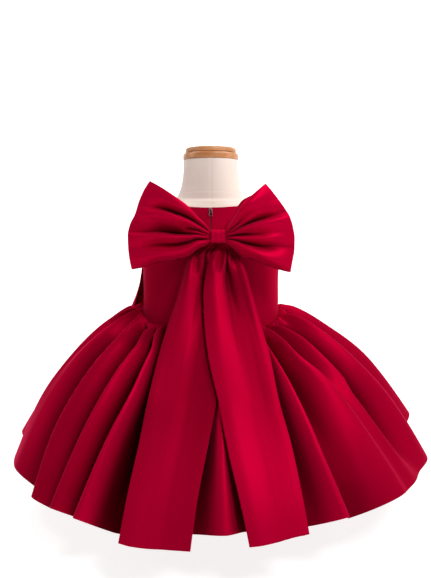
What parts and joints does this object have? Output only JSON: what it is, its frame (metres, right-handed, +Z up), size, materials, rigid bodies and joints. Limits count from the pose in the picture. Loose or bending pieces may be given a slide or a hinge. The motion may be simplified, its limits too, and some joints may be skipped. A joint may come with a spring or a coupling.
{
  "type": "toddler party dress on a dress form",
  "caption": "Sleeveless satin toddler dress with a gathered bell skirt and a large back bow with long tails, worn on a limbless child's dress form with a wooden neck cap and stand.",
  "frame": {"origin": "centre of the underside of the round base, on the floor", "axes": "+Z up along the form's axis; the back of the dress, with its zip and bow, faces -Y; +X is to the right as seen from behind, so the wearer's left side is at -X"},
  "size_m": [0.6177, 0.6043, 0.5036],
  "materials": {
    "satin": "crimson duchess satin with a soft sheen",
    "form_cloth": "pale cream knitted cover",
    "beech": "varnished wood",
    "zip_tape": "woven zip tape, dyed to match",
    "zip_metal": "dark plated metal"
  },
  "bodies": {
    "dress": {"form_torso": "form_cloth", "form_neck_plate": "beech", "form_neck_cap": "beech", "form_pole": "beech", "form_base": "beech", "bodice_front": "satin", "bodice_back_left": "satin", "bodice_back_right": "satin", "skirt_front": "satin", "skirt_back_left": "satin", "skirt_back_right": "satin", "side_drape": "satin", "bow_loop_left": "satin", "bow_loop_right": "satin", "bow_knot": "satin", "tail_left": "satin", "tail_right": "satin", "zip_tape": "zip_tape", "zip_slider": "zip_metal"},
    "zip_pull": {"zip_pull": "zip_metal"}
  },
  "joints": [
    {"name": "pull_swing", "type": "hinge", "parent": "dress", "child": "zip_pull", "pos_m": [0, -0.05411, 0.41407], "axis": [-1, 0, 0], "range_deg": [0, 140]}
  ]
}
